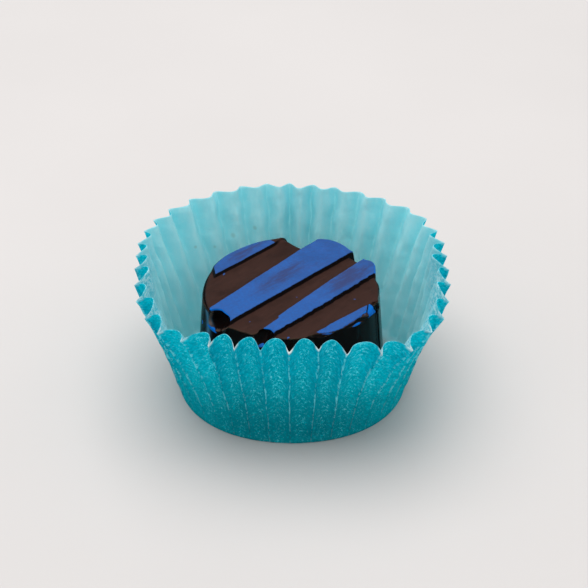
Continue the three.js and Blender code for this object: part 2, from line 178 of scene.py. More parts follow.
# Roundness of the top edge: azimuth, half width in degrees, mm of radius above the least.
EDGE_ROUND = 0.13 * MM
SOFT_EDGES = (
    (184, 20, 0.75), (132, 38, 1.05), (2, 14, 0.35), (52, 14, 0.3), (24, 8, 0.3), (-27, 6, 0.9),
)
# Where the outline stands out or draws in: azimuth, half width in degrees, size in mm.
OUTLINE_SWELLS = (
    (62, 8, 0.3), (44, 6, -0.5), (75, 5, -0.3), (23, 5, 0.4), (29.5, 2.2, -0.5), (9, 5, -0.35),
    (-18, 3.5, 0.25), (-133, 3, 0.25),
)
# Where a rib ends short of the outline: its number, the way its end faces, and how far
# out that end stands.
RIB_ENDS = ((0, math.radians(189.5), 10.6 * MM), (3, math.radians(-8.1), 11.66 * MM))
RIB_END_DRAFT = 0.35 * MM
# The fresh facet beyond the last rib's end that holds paint: its middle and corners, the
# bare gap between the two in mm, and the chip beside it that has no paint.
PAINTED_FACET = {"deepest": (-27.5, 15.6), "corners": (
    (-32.6, 17.2), (-32, 14.95), (-17.5, 14.1), (-23, 16.1), (-24, 17.2))}
FACET_RIB, FACET_GAP, FACET_CHIP = 3, 0.14, 3

# ---- The chocolate's grid ----
# Steps between the lines that follow the ribs, from the back left to the front right.
LINE_STEPS = (26, 7, 26, 7, 26, 7, 20, 7, 22, 7, 26, 8, 40)
EVEN_STEPS = 10  # a stretch with more steps than this crowds them towards its ends
# The angle from each pole to the nearest side of a rib, from the mm across to that side
# and the body's radius.
POLE_ANGLES = tuple(math.acos(side / 13.1) for side in (10, 11.3))
POINTS_ALONG = 200
POINT_CROWDING = 0.78  # nearer 1, more of a line's points lie close to its ends
LINE_ROUNDS = 14  # how often a line's ends are put right
POLE_ROUNDS = 8
DEPTH_ROWS = 74
DEPTH_EVEN = 0.45  # share of the wall's rows that are even; the others crowd to the top
DEPTH_POWER = 2.6
FOOT_STEPS = (0.35, 0.7, 1.0)  # shares of the foot's quarter round at which it has a ring
BASE_RINGS = (0.66, 0.33)  # shares of the foot's radius

# ---- Marks that the chocolate's colours read, with their values at the grid's poles ----
POLE_MARKS = {
    "coat": -1.0, "wear": 0.0, "steep": 0.0, "side": 1.0, "edge": 0.0, "lip_highlight": 0.0, "painted_reflection": 0.0,
}
STEEP_SHARES = (0.02, 0.25, 0.85, 0.98)  # of a rib's height, where its side comes in and ends
SIDE_SHARES = (0.2, 0.75)  # of the edge's round, from the wall's gloss to the top's matt
FACET_SIDE = (-0.05, 0)  # where the facet's gloss comes in, as its depth inside the outline
# Patches of colour: on the top (along, across, half length, half width, degrees of turn),
# and on the wall (azimuth, level, half width, half height, lean, how worn, and 1 if the
# colour stays out of the chips).
TOP_FLECKS = (
    (-4.6, 9.55, 0.3, 0.13, 20), (-1.4, -2.5, 0.16, 0.1, 0), (4.05, -8.95, 0.28, 0.14, -15),
    (-9.3, -8.75, 0.25, 0.15, 0), (-10.4, -2.1, 0.14, 0.08, 0),
)
WALL_FLECKS = (
    (-148.8, 12.97, 1.45, 0.25, 3, 0, 1),
    (-45.5, 15.3, 1.0, 0.17, -4, 0.2, 0), (-68, 15.8, 1.0, 0.3, -8, 0.9, 0),
    (-109, 13.75, 0.5, 0.2, 20, 0.5, 0), (170, 14.1, 0.3, 0.12, 60, 0, 0),
    (-166, 11.6, 0.5, 0.3, 20, 0.3, 0), (-34, 14.95, 0.5, 0.14, -4, 0.3, 1),
)
CHIP_OVERLAP = 0.08  # how far such colour still reaches over a chip's outline
# Worn places on the top: as its flecks, and how worn they are. The last lies on the groove floor between
# the first two ribs, where there is no paint and it only darkens the cocoa.
TOP_WEAR = (
    (0.3, 2.2, 6.2, 1.5, 7, 0.95), (-4.5, 1.4, 3.0, 0.6, 5, 0.5), (7.4, -5.0, 5.2, 1.7, 4, 1.15),
    (9.9, -5.3, 1.1, 0.5, 0, 1.3), (-5.2, -5.2, 1.6, 0.5, 8, 0.5), (-2.5, -12.4, 2.5, 0.5, 0, 0.2),
    (1.5, 11.2, 4.2, 1.3, 0, 1.0), (7.5, 1.0, 3.0, 0.8, 0, 0.4), (6.5, 7.4, 3.4, 1.7, 0, 0.9),
)
# Where the wall is matt below its top edge: middle and half width in degrees, depth in mm
# and the mm over which it fades.
MATT_SHOULDER = (168, 20, 1.3, 0.5)
# A painted reflection, a pale bluish strip up the left of the wall where the glossy side
# would mirror the bright paper: levels in mm, the azimuths of its middle there, its half
# width in degrees, and where it comes in beside a chip.
REFLECTION_STRIP_LEVELS = (10.1, 13.4, 15.9)
REFLECTION_STRIP_AZIMUTHS = (-152.5, -153.5, -160)
REFLECTION_STRIP_HALF = 3.2
REFLECTION_STRIP_CLEAR = (-0.1, 0)

# ---- Noises in the materials: scale, detail and roughness ----
PAPER_NOISES = {
    "waver": (700, 2), "patches": (330, 3, 0.6), "mottle": (2700, 2, 0.6),
    "blotch": (1150, 3, 0.6), "line waver": (1400, 3, 0.6), "line breaks": (1100, 3, 0.7),
}
CHOCOLATE_NOISES = {
    "cloud": (330, 4, 0.6), "grain": (4200, 2), "mottle": (2400, 3, 0.75), "rag": (2300, 3, 0.65),
}
STREAK = (1150, 4, 0.65)
STREAK_SQUEEZE = (1, 1, 0.13)  # draws the paper's streaks out upwards
RIB_STREAK = (1500, 3, 0.6)
RIB_SQUEEZE = (0.22, 1, 1)  # draws the chocolate's streaks out along the ribs
# Crinkles in the paper: mm of pattern across a pleat, up the wall, and from one side of a
# pleat to the next; then the lean in degrees, the squeeze across, the scale and the
# strength of each of two noises, and what they share: detail, roughness and distortion.
STROKE_SPAN = (3.5, 20.0, 5.3)
STROKE_NOISES = ((-38, 0.5, 4.7, 1), (-64, 0.55, 4.3, 0.97))
STROKE_KIND = (2, 0.5, 0.7)
# Distances from a crease made to waver: the noise and how far, in pleats.
FOLD_WAVERS = {
    "band fold": ("waver", 0.14), "line fold": ("line waver", 0.055), "channel": ("streak", 0.16),
}

# ---- Shares: each is the product of patterns as they are, plain numbers, and patterns
# through a smooth step, which has its start and end and the share at both ----
CRINKLED_BAND = (
    ("band fold", 0.16, 0.36, 0.12, 1), ("patches", 0.36, 0.6, 0.3, 1), ("height", 0.25, 0.7, 0.45, 1),
)
CREASE_LINE = (
    ("line fold", 0.008, 0.032, 1, 0), ("line breaks", 0.44, 0.56), ("height", 0.06, 0.5, 0.1, 0.85),
)
THROUGH_OUTSIDE = 0.57  # share of the light that the paper lets through
THROUGH_INSIDE = (("height", 0.15, 0.75, 0.64, 0.45),)
# Round faint specks where the wall's inner face has soaked up some fat: mm to the right,
# level, radius; how a speck fades over its radius, and the depth from which they show.
GREASE_SPECKS = ((-9.2, 13.3, 0.45), (-5.8, 13.7, 0.4), (-12.0, 12.5, 0.3), (-14.9, 13.7, 0.3))
GREASE_FADE = (0.3, 1.2, 0.5, 0)
GREASE_DEPTH = (8 * MM, 12 * MM)
WORN = ("wear", ("streaks", 0.25, 0.75, 0.35, 1.25))
GRAINY_WEAR = {"rubbed": 0.25, "bare": 0.4}  # how much grain is added to the wear
PAINTED = (("ragged coat", -0.02, 0.035), ("bare", 1.25, 1.8, 1, 0.4))
# where the chocolate is glossy and its colour is darkened as painted shade: the outer wall and the rib
# sides
GLOSSY_AND_SHADED = ((("side", 0.25, 0.75),), (("steep", 0.2, 0.6),))
CHOCOLATE_ROUGHNESS = (("side", 0.25, 0.75, 0.58, 0.2),)
EVEN_SIDE = (("side", 0.2, 0.7, 1, 0.12),)

# ---- Coats of colour, from the first to the last: linear red, green and blue or the name
# of a setting, and then the share, as above ----
OUTER_COATS = {
    # painted shade: the outer face darkens towards the foot
    "foot": ("outer_foot_shade", ("height", 1, 0.15)),
    # painted light: the case's sides are brighter than its front, where less light comes through past
    # the chocolate
    "sides": ((0, 0.62, 0.78), ("aside", 6 * MM, 18 * MM, 0, 0.62)),
    "dark blotches": ((0, 0.2, 0.3), ("blotch", 0.34, 0.56, 0.35, 0)),
    "dark mottle": ((0, 0.18, 0.28), ("mottle", 0.34, 0.56, 0.5, 0)),
    # painted shade in the hollows of the crinkles
    "crinkle shade": ((0, 0.15, 0.24), ("strokes", 0.47, 0.32, 0, 0.85), "band"),
    "light mottle": ((0, 0.7, 0.86), ("mottle", 0.52, 0.7, 0, 0.4)),
    # painted highlights on the crinkles
    "crinkle highlights": ((0.003, 0.82, 0.97), ("strokes", 0.53, 0.66, 0, 0.8), "band"),
    "specks": ((0.2, 0.96, 1), ("strokes", 0.59, 0.68), ("mottle", 0.45, 0.6, 0, 0.75), "band"),
    "crease lines": ((0.17, 0.9, 1), "line"),
}
INNER_COATS = {
    "streaks": ((0.6, 0.93, 0.96), ("streak", 0.34, 0.66)),
    # painted shade along the creases, which are hollows on the inside
    "channels": ((0.45, 0.9, 0.95), ("channel", 0.32, 0.06)),
    "pale mottle": ((0.78, 0.96, 0.98), ("mottle", 0.5, 0.75, 0, 0.3)),
    # painted light: the inner face is made paler low down, in place of light that comes through and
    # bounces inside
    "painted light low down": ((0.9, 0.98, 1), ("height", 0.75, 0.15), ("height", 0, 0.08, 0.3, 1)),
    "front rim": ((0.1, 0.55, 0.66), ("height", 0.6, 0.95, 0, 0.9), ("depth", 10 * MM, -6 * MM)),
    "front haze": ((0.9, 0.97, 0.98), ("fibres", 0.5, 0.66, 0, 0.8), ("height", 0.6, 0.95),
                   ("depth", 10 * MM, -6 * MM)),
    "grease": ((0.42, 0.5, 0.42), "grease"),
}
CUT_COATS = {"bare edge": ((0.95, 0.96, 0.93), ("bare", 0.1, 0.8))}
COCOA_COATS = {
    "dark clouds": ("dark_cocoa", ("cloud", 0.6, 0.2)),
    "light streaks": ("light_cocoa", ("streaks", 0.45, 0.75, 0, 0.5)),
    # darker cocoa by the wear mark; on the unpainted groove floor it gives a darker stretch
    "darker cocoa": ("dark_cocoa", "wear", 0.95),
    # glossy sides are darker than the matt top; the near black is also painted shade on the wall and rib
    # sides
    "gloss_and_shade": ("gloss_and_shade", "glossy"),
    # painted reflection: a pale bluish strip up the left of the glossy wall, in place of the paper
    # mirrored there
    "painted_reflection": ((0.07, 0.17, 0.26), "painted_reflection", 0.9),
    # partly edge wear and partly a painted highlight: a pale line along the top edge, as if lit
    "arris highlight and wear": ((0.13, 0.07, 0.045), ("edge", 0.02, 0.17, 0.5, 0), ("cloud", 0.35, 0.6, 0.2, 0.9)),
    # painted highlight: a pale line where light would catch the lip of each chip
    "lip highlights": ((0.16, 0.095, 0.075), ("lip_highlight", 0.1, 0.7), ("cloud", 0.34, 0.56, 0.1, 0.85)),
}
PAINT_COATS = {
    "pale clouds": ("pale_paint", ("cloud", 0.3, 0.7)),
    "streaks": ((0.036, 0.072, 0.272), ("streaks", 0.5, 0.8, 0, 0.35)),
    "fresh front": ((0.0165, 0.094, 0.335), ("front", -0.1 * MM, -1.7 * MM, 0, 0.75)),
    "worn mottle": ("worn_paint", ("mottle", 0.35, 0.65, 0.3, 0)),
    "fresh sides": ((0.004, 0.135, 0.54), ("side", 0.25, 0.75)),
    "rubbed": ("worn_paint", ("rubbed", 0.25, 1.05, 0, 0.85)),
}
FLOOR_COATS = {"dull clouds": ("dull_floor", ("cloud", 0.7, 0.3))}
FLOOR_NOISE = (14, 3)

# ---- Finish: roughness, highlights, and bumps as (depth, strength) ----
PAPER_ROUGHNESS = 0.62
PAPER_SHINE = 0.005
THIN_GAMMA = 0.42  # light through the paper is paler than light off it
CRINKLE_BUMP = (0.05 * MM, 0.8)
MOTTLE_BUMP = (0.035 * MM, 0.5)
PAINT_ROUGHNESS = 0.46
CLOUD_ROUGHNESS = 0.06  # either way
COAT_RAG = 0.065  # mm either way that the paint's edge is ragged by
FRONT_LEAN = 0.09  # how much the fresh front of the paint leans back across the ribs
GRAIN_BUMP = (0.03 * MM, 0.6)
STREAK_HEIGHT, GRAIN_HEIGHT = 0.6, 0.4  # shares of that bump
PAINT_BUMP = (0.03 * MM, 0.5)
SHINE = 0.045
DULL_SHINE = 0.005
DULL_WALL = (186, 38)  # middle and half width in degrees of the stretch of wall without shine
WALL_MARK = 0.5  # a point with more of the side mark than this lies on the wall
FLOOR_ROUGHNESS = 0.75

# ---- Stage ----
FLOOR_HALF = 1.5  # m
KEY_PLACE = (-0.04, 0.09, 0.54)
KEY_AIM = (0, 0, 0.01)
KEY_SIZE = 0.6
KEY_TINT = (1.0, 0.985, 0.975)
SKY_TINT = (1.0, 0.985, 0.985)
# Camera: height above the horizon, distance from the point under the rim's middle, and the
# size of the picture, with where that point falls on it.
CAMERA_ELEVATION = 0.63373
CAMERA_DISTANCE = 0.23999
PICTURE = 588
FOCAL_PIXELS = 1571.6
AIM_PIXEL = (291.96, 372.5)
SENSOR = 36
CLIP_START = 0.01
CHOCOLATE_ASIDE = -0.12 * MM  # the chocolate stands this far right of the case's middle


# ---------------------------------------------------------------- settings

def length(name, description, default):
    """A size that a user may change."""
    return bpy.props.FloatProperty(
        name=name, description=description, default=default, unit="LENGTH", precision=5
    )


def colour(name, description, default):
    """A colour that a user may change, as linear red, green and blue."""
    return bpy.props.FloatVectorProperty(
        name=name, description=description, default=default, subtype="COLOR", size=3, min=0, max=1
    )


class TruffleCaseSettings(bpy.types.PropertyGroup):
    """Sizes and colours of the paper case."""

    pleats: bpy.props.IntProperty(
        name="Pleats", description="Folds round the case", default=38, min=8
    )
    height: length("Height", "From the floor to the tips of the creases", 19.6 * MM)
    base_radius: length("Base radius", "Of the wall at the floor", 17.5 * MM)
    rim_radius: length("Rim radius", "To the crease tips, before the mouth's waves", 24 * MM)
    base_depth: length("Pleat depth at the base", "How far a pleat bulges in", 0.3 * MM)
    rim_depth: length("Pleat depth at the rim", "How far a pleat bulges in", 1.8 * MM)
    lobe_rise: length("Lobe rise", "How much taller a pleat is than its creases", 1 * MM)
    paper: length("Paper", "Thickness of the wall", 0.13 * MM)
    outer: colour("Outer colour", "Outside of the case", (0.0, 0.485, 0.645))
    # a painted shade colour: the outer face darkens towards it at the foot
    outer_foot_shade: colour("Foot colour", "Outside of the case at its foot", (0.0, 0.1746, 0.2322))
    inner: colour("Inner colour", "Inside of the case", (0.52, 0.9, 0.94))


class TruffleChocolateSettings(bpy.types.PropertyGroup):
    """Sizes and colours of the chocolate."""

    body_radius: length("Body radius", "At the groove floors", 13.1 * MM)
    floor_level: length("Groove level", "Height of the groove floors, at the middle", 15.65 * MM)
    rib_height: length("Rib height", "Of the ribs above the grooves", 0.65 * MM)
    base_level: length("Base level", "Underside of the chocolate", 0.36 * MM)
    cocoa: colour("Cocoa", "Matt top of the chocolate", (0.0318, 0.0139, 0.0105))
    dark_cocoa: colour("Dark cocoa", "Where the top is darker", (0.01908, 0.00834, 0.0063))
    light_cocoa: colour("Light cocoa", "Streaks on the top", (0.04293, 0.018765, 0.0147))
    # a near black that is partly painted shade on the sides that face the camera
    gloss_and_shade: colour("Gloss", "Shiny sides of the chocolate", (0.005, 0.0026, 0.0025))
    paint: colour("Paint", "Colour on the ribs", (0.0156, 0.0736, 0.258))
    pale_paint: colour("Pale paint", "Where it lies thicker", (0.0195, 0.092, 0.3225))
    worn_paint: colour("Worn paint", "Where it is rubbed", (0.029, 0.0405, 0.12))


class TruffleStageSettings(bpy.types.PropertyGroup):
    """Floor and light."""

    floor: colour("Floor", "Colour of the floor", (0.555, 0.54, 0.533))
    dull_floor: colour("Dull floor", "Its faint clouds", (0.53835, 0.5238, 0.51701))
    sky: bpy.props.FloatProperty(
        name="Sky", description="Strength of the light from all round", default=0.76, min=0
    )
    key: bpy.props.FloatProperty(
        name="Key", description="Power of the light above", default=3.05, min=0, unit="POWER"
    )


# ---------------------------------------------------------------- shapes in numpy

def draws(count, seed):
    """Repeatable shares from 0 to 1: each draw is the last one times a fixed number,
    less all whole turns of a prime."""
    multiplier, prime = 16807, 2147483647
    shares, value = [], seed
    for _ in range(count):
        value = value * multiplier % prime
        shares.append(value / prime)
    return np.array(shares)


def uneven(count, seed, spread):
    """Repeatable factors about 1, each at most the spread away from it."""
    return 1 + spread * (2 * draws(count, seed) - 1)


def ripples(points, pitch, seed, waves=26):
    """Soft unevenness at each point, mostly between -2 and 2: a sum of plane waves about
    one pitch long, each with a direction and a start drawn at random."""
    rng = np.random.default_rng(seed)
    ways = rng.normal(size=(waves, 3))
    ways /= np.linalg.norm(ways, axis=1, keepdims=True)
    rates = 2 * math.pi / (pitch * rng.uniform(*RIPPLE_PITCHES, waves))
    starts = rng.uniform(0, 2 * math.pi, waves)
    total = np.zeros(points.shape[:-1])
    for way, rate, start in zip(ways, rates, starts):
        total += np.sin(points @ way * rate + start)
    return total / math.sqrt(waves / 2)


def soft_ramp(share):
    """0 well below share 0, 1 well above share 1 and straight between, corners eased:
    half of one plus the difference of two hyperbolas."""
    return 0.5 * (1 + np.hypot(share, SOFT_EASE) - np.hypot(share - 1, SOFT_EASE))


def smooth(low, high, value):
    """0 below low, 1 above high, and three t squared less two t cubed between."""
    t = np.clip((value - low) / (high - low), 0, 1)
    return t * t * (3 - 2 * t)


def crowded(t, crowding):
    """Shares from 0 to 1 drawn towards both ends of each whole by a sine."""
    return t - crowding * np.sin(2 * math.pi * t) / (2 * math.pi)


def swell(waves, turn):
    """The sum of waves round the case: each is its size times the cosine of its number
    of swells times the turn, plus a turn of its own."""
    return sum(size * np.cos(swells * turn + math.radians(offset)) for swells, size, offset in waves)


def wrap(degrees):
    """Degrees brought between -180 and 180."""
    return (degrees + 180) % 360 - 180


def bell(azimuth, middle, half):
    """1 at a middle in degrees, falling away from it by e to the minus square of the
    distance over the half width."""
    return np.exp(-((wrap(np.degrees(azimuth) - middle) / half) ** 2))


def round_points(azimuth, radius, level):
    """Points from azimuth, radius and level."""
    shape = np.broadcast(azimuth, radius, level).shape
    stacked = (radius * np.cos(azimuth), radius * np.sin(azimuth), level)
    return np.stack([np.broadcast_to(part, shape) for part in stacked], -1)


# ---- Paper case ----

def at_crease(s, pleat, column):
    """One column of the creases' table for each pleat number, straight between creases."""
    rows = np.array(RIM_CREASES, float)
    return np.interp(pleat, rows[:, 0], rows[:, column], period=s.pleats)


def off_crease(pleat):
    """How far a pleat number is from the nearest crease, in pleats."""
    return 0.5 - np.abs(np.mod(pleat, 1) - 0.5)


def lobe(s, pleat, height, back):
    """How far the paper bulges between two creases, from 0 to 1: a power of a sine, with
    a round of its own at each crease. Each half of a pleat has a power of its own."""
    half = np.floor(2 * pleat).astype(int) % (2 * s.pleats)
    powers = LOBE_POWER * uneven(2 * s.pleats, POWER_SEED, POWER_SPREAD)
    power = powers[half] * (1 - back) + BACK_POWER * back
    fold = off_crease(pleat)
    more = (at_crease(s, pleat, NOTCH_HALF) - FOOT_NOTCH_HALF) * height**3
    flat = LEAST_NOTCH_HALF + (FOOT_NOTCH_HALF + more) * (1 - back)
    share = fold**3 / (fold**2 + flat**2) * (0.5**2 + flat**2) / 0.5**3
    return np.sin(share * math.pi / 2) ** power


def case_wall(s, pleat, height):
    """The outer face of the case's wall. The pleat number is whole on a crease, and
    height is the share of the way up. The radius of the creases grows with height, in a
    line plus a square, and the mouth's waves with its square. Between two creases the
    paper bulges in by a sine, and stands taller by it."""
    turn = pleat / s.pleats * 2 * math.pi
    number = np.floor(pleat).astype(int) % s.pleats
    azimuth = math.radians(FIRST_CREASE) + np.radians(swell(CREASE_WAVES, turn)) + turn
    back = smooth(BACK_FROM, BACK_TO, np.sin(azimuth))
    bulge = lobe(s, pleat, height, back) * uneven(s.pleats, PLEAT_SEED, DEPTH_SPREAD)[number]
    flare = (1 - FLARE_CURVE) * height + FLARE_CURVE * height**2
    crease = s.base_radius + (s.rim_radius - s.base_radius) * flare
    crease = crease + swell(MOUTH_WAVES, turn) * height**2
    depth = s.base_depth + (s.rim_depth - s.base_depth) * height
    radius = crease - depth * bulge
    azimuth = azimuth + at_crease(s, pleat, FELL_RIGHT) * MM / s.rim_radius * height**2
    radius = radius + at_crease(s, pleat, FELL_OUT) * MM * height**2
    own = np.pad(np.array(FRONT_LOBES), ((0, s.pleats - len(FRONT_LOBES)), (0, 0))) * MM
    taller, lean = own[number].T
    azimuth = azimuth + lean.T / s.rim_radius * bulge * height**3
    rise = s.lobe_rise * (1 - (1 - BACK_RISE) * back) + taller.T
    raised = at_crease(s, pleat, FELL_UP) * MM * np.clip(1 - bulge, 0, 1)
    level = s.height * height + (rise * bulge + raised) * height**3
    plain = round_points(azimuth, radius, level)
    pitch, size, seed = CREASE_WANDER
    azimuth = azimuth + ripples(plain, pitch, seed) * size / s.rim_radius * height
    for pitch, size, seed in CRUMPLES:
        radius = radius + ripples(plain, pitch, seed) * size * smooth(0, CRUMPLES_FULL, height)
    return azimuth, radius, level


def strips(grid):
    """The four numbers round each cell of a grid, down its columns first."""
    return np.stack([grid[:-1, :-1], grid[1:, :-1], grid[1:, 1:], grid[:-1, 1:]], -1)


def shell_cells(grid):
    """The cells of a shell whose first and last rows are a pole each: those between the
    poles with four numbers, and those at each pole with three."""
    cells = strips(grid)
    return cells[1:-1, :, [0, 3, 2, 1]].reshape(-1, 4), cells[0][:, [0, 2, 1]], cells[-1][:, [0, 3, 1]]


def ring_shell(rings):
    """A closed shell from rings of equal length, with the first and last ring drawn
    together into a pole each. Gives the points, the faces, and each face corner's ring
    and column, with columns that don't wrap."""
    count, columns = rings.shape[:2]
    points = np.concatenate([rings[:1, 0], rings[1:-1].reshape(-1, 3), rings[-1:, 0]])
    ring, column = np.meshgrid(np.arange(count), np.arange(columns + 1), indexing="ij")
    index = 1 + (ring - 1) * columns + column % columns
    index[0], index[-1] = 0, len(points) - 1
    faces = [face for cells in shell_cells(index) for face in cells.tolist()]
    corners = [np.concatenate([cells.ravel() for cells in shell_cells(grid)]) for grid in (ring, column)]
    return points, faces, *corners


def case_shell(s):
    """The whole case: out along the underside, up the outer face, over the cut rim, which
    is raised a little in its middle, down the inner face and in over the floor. Gives
    points, faces and, for each face corner,
    the pleat number, the share of the height, 1 on the inner face, and how bare the
    paper is of dye at the notches' cut edge."""
    pleat = crowded(np.arange(s.pleats * COLUMNS_PER_PLEAT) / COLUMNS_PER_PLEAT, COLUMN_CROWDING)
    rows = 1 - (1 - np.linspace(0, 1, WALL_ROWS)) ** ROW_CROWDING
    rows = WALL_FROM + (1 - WALL_FROM) * rows
    azimuth, radius, level = case_wall(s, pleat[None, :], rows[:, None])
    toe = TOE_RADIUS + swell(TOE_WAVES, azimuth[:1])

    def ring(size, height):
        return round_points(azimuth[:1], size, height)

    rings = [
        ring(0, 0), ring(toe / 2, 0), ring(toe - FLOOR_INSET, 0), ring(toe, TOE_LEVEL),
        round_points(azimuth, radius, level),
        round_points(azimuth[-1:], radius[-1:] - s.paper / 2, level[-1:] + s.paper / 3),
        round_points(azimuth, radius - s.paper, level)[::-1],
        ring(toe - FLOOR_INSET, FLOOR_PAPER), ring(toe / 2, FLOOR_PAPER), ring(0, FLOOR_PAPER),
    ]
    points, faces, ring_of, column = ring_shell(np.concatenate(rings))
    ring_height = np.concatenate([np.zeros(4), rows, [1], rows[::-1], np.zeros(3)])
    ring_inside = np.concatenate([np.zeros(4 + WALL_ROWS), [0.5], np.ones(WALL_ROWS + 3)])
    height, inside = ring_height[ring_of], ring_inside[ring_of]
    pleat = crowded(column / COLUMNS_PER_PLEAT, COLUMN_CROWDING)
    bare = at_crease(s, pleat, BARE_PAPER) * (1 - smooth(*BARE_HALF, off_crease(pleat)))
    bare = bare * smooth(BARE_FROM, 1, height)
    bare = np.where(height > CUT_EDGE, np.maximum(bare, BARE_EDGE), bare)
    return points, faces, pleat, height, inside, bare


# ---- Chocolate ----

def across_side(ends, bow, along):
    """A rib's side: a straight line between its ends, bowed out by a square law."""
    share = (along / RIB_REACH + 1) / 2
    line = ends[0] * MM * (1 - share) + ends[1] * MM * share
    return line + bow * MM * (1 - (along / RIB_REACH) ** 2)


def rib_sides(number, along):
    """The low and high side of a rib's top face across, with a little raggedness."""
    rib = RIBS[number]
    ragged = sum(np.sin(along / wave + start * number) * size for wave, start, size in RAG_WAVES)
    low = across_side(rib["low"], rib["bow"][0], along) + ragged * rib["rag"] * MM / 2
    return low, across_side(rib["high"], rib["bow"][1], along) - ragged * HIGH_RAG


def end_room(number, along, across):
    """How far a point lies inside a rib's own end, or a great way if it has none."""
    room = np.full_like(along, RIB_REACH)
    for rib, facing, distance in RIB_ENDS:
        if rib == number:
            turn = facing - RIB_TURN
            room = distance - along * math.cos(turn) - across * math.sin(turn)
    return room


def top_surface(s, along, across):
    """Height of the top before its outer edge is rounded, and each rib's share there.
    The groove floors are a gently climbing plane. Each rib adds its height times two
    soft ramps, one for each side, and the run-outs and lumps are taken away or added."""
    plane = np.stack([along, across, np.zeros_like(along)], -1)
    level = s.floor_level + TOP_SLOPE * along
    for pitch, size, seed, squeeze in TOP_RIPPLES:
        level = level + ripples(plane * (squeeze, 1, 1), pitch, seed) * size
    shares = []
    for number, rib in enumerate(RIBS):
        low, high = rib_sides(number, along)
        share = soft_ramp(1 + (across - low) / RIB_DRAFT) * soft_ramp(1 + (high - across) / RIB_DRAFT)
        share = share * soft_ramp(1 + end_room(number, along, across) / RIB_END_DRAFT)
        shares.append(share)
        level = level + (s.rib_height - rib["sunk"] * MM) * share
    for low, high, start in RUN_OUTS:
        within = smooth(low - RUN_OUT_SIDE, low, across / MM)
        within = within * (1 - smooth(high, high + RUN_OUT_SIDE, across / MM))
        within = within * (1 - np.maximum.reduce(shares))
        past = (along - start * MM) / MM
        level = level - within * RUN_OUT_SLOPE * MM * 0.5 * (past + np.hypot(past, RUN_OUT_EASE))
    for at, aside, size, rise in LUMPS:
        away = np.hypot(along - at * MM, across - aside * MM) / (size * MM)
        level = level + rise * MM * np.exp(-(away**2))
    return level, shares


def edge_round(azimuth):
    """Radius of the top edge's rounding: a least value plus a bell at each soft stretch."""
    return EDGE_ROUND + sum(more * MM * bell(azimuth, middle, half) for middle, half, more in SOFT_EDGES)


def in_ellipse(aside, up, wide, tall, lean):
    """How deep a point lies in a leaning ellipse: 1 at its middle, 0 on its outline and
    less outside, which is one less the point's distance in half widths and heights."""
    turn = math.radians(lean)
    first = (aside * math.cos(turn) + up * math.sin(turn)) / wide
    return 1 - np.hypot(first, (up * math.cos(turn) - aside * math.sin(turn)) / tall)


def on_wall(azimuth, level, middle, height):
    """How far a point of the wall lies to the right of and above another, in mm."""
    return np.radians(wrap(np.degrees(azimuth) - middle)) * BODY_ARC, level / MM - height


def outline_share(chip, azimuth, level):
    """How far out a point of the wall lies in a chip: 0 at its deepest point and 1 on its
    outline. For each side of the outline it is the distance from the deepest point along
    the side's normal, over that of the side; the shares are joined by a power mean."""
    middle, height = chip["deepest"]
    aside, up = on_wall(azimuth, level, middle, height)
    corners = [(math.radians(turn - middle) * BODY_ARC, at - height) for turn, at in chip["corners"]]
    total = np.zeros(np.broadcast(azimuth, level).shape)
    for (x, y), (next_x, next_y) in zip(corners, corners[1:] + corners[:1]):
        normal_x, normal_y = next_y - y, x - next_x
        share = (aside * normal_x + up * normal_y) / (x * normal_x + y * normal_y)
        total = total + np.clip(share, 0, FAR_OUT) ** OUTLINE_CRISPNESS
    return total ** (1 / OUTLINE_CRISPNESS)


def chip_depth(azimuth, level):
    """How deep the bubbles and chips reach into the wall."""
    total = np.zeros(np.broadcast(azimuth, level).shape)
    for chip in CHIPS:
        straight = chip["straight"]
        left = np.clip(1 - outline_share(chip, azimuth, level) ** (1 / straight), 0, 1)
        depth = (left + DEPTH_EASE) ** straight - DEPTH_EASE**straight
        total = np.maximum(total, depth * chip["depth"] * MM)
    return total


def wall_radius(s, azimuth, level):
    """The body's radius: it grows downwards by the draft, has four faint corners and a
    few swells, and is bitten by the bubbles and chips."""
    outline = s.body_radius + np.cos(4 * (azimuth - SQUARING_TURN)) * SQUARING
    for middle, half, size in OUTLINE_SWELLS:
        outline = outline + size * MM * bell(azimuth, middle, half)
    return outline + (s.floor_level - level) * WALL_DRAFT - chip_depth(azimuth, level)


def rib_lines(s, along):
    """The sides that the grid's lines follow, across, from the back left to the front
    right: for each rib and groove the top and the foot of the wall between them."""
    keys = []
    for number in range(len(RIBS)):
        low, high = rib_sides(number, along)
        keys += [high + RIB_DRAFT, high, low, low - RIB_DRAFT]
    pole = np.full_like(along, s.body_radius)
    return [pole, *keys[2:-2], -pole]


def line_shares():
    """For each line, the stretch between two rib sides that it lies in and how far into
    it. The lines crowd towards the ends of a stretch by a cosine, and on the first and
    last stretch they are even in angle towards the pole."""
    first, last = POLE_ANGLES
    stretch, share = [], []
    for number, steps in enumerate(LINE_STEPS):
        t = np.arange(steps) / steps
        if number == 0:
            t = (1 - np.cos(t * first)) / (1 - math.cos(first))
        elif number == len(LINE_STEPS) - 1:
            t = 1 - (1 - np.cos((1 - t) * last)) / (1 - math.cos(last))
        elif steps > EVEN_STEPS:
            t = (1 - np.cos(math.pi * t)) / 2
        stretch.append(np.full(steps, number))
        share.append(t)
    return np.concatenate(stretch)[1:], np.concatenate(share)[1:]


def line_across(s, along, stretch, share):
    """Across, for points given along on each line: between the two sides of its stretch."""
    keys = np.stack(rib_lines(s, along))
    rows = np.arange(along.shape[0])
    return keys[stretch, rows] * (1 - share) + keys[stretch + 1, rows] * share


def polar(along, across):
    """Azimuth and radius of a point given along and across."""
    return np.arctan2(across, along) + RIB_TURN, np.hypot(along, across)


